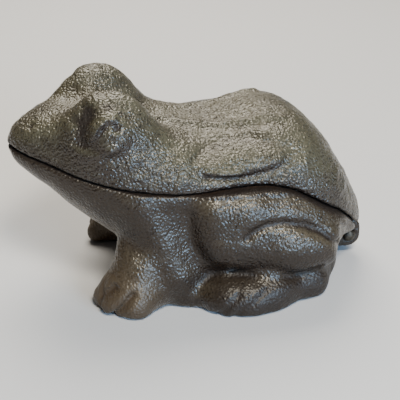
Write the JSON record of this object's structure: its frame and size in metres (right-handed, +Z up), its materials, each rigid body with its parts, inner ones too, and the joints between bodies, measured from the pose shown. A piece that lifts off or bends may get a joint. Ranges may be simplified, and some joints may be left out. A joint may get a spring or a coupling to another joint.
{
  "type": "frog-shaped cast-iron trinket box",
  "caption": "Seated cast-iron frog whose head and back form a lid, hinged at the rump, over a hollow body that holds a key or trinkets.",
  "frame": {"origin": "on the ground plane, under the middle of the frog's overall length and width", "axes": "+Z up, -Y the way the frog faces, +X the frog's left side"},
  "size_m": [0.0985, 0.1342, 0.0771],
  "materials": {
    "base_iron": "dark brown lacquer over sand-cast grain, semi-gloss",
    "lid_iron": "dark brown lacquer over coarse sand-cast grain, semi-gloss",
    "pin_steel": "dull grey-green, tarnished"
  },
  "bodies": {
    "base": {"base_casting": "base_iron", "hinge_pin": "pin_steel"},
    "lid": {"lid_casting": "lid_iron"}
  },
  "joints": [
    {"name": "lid_hinge", "type": "hinge", "parent": "base", "child": "lid", "pos_m": [0, 0.0623, 0.0083], "axis": [-1, 0, 0], "range_deg": [0, 105]}
  ]
}
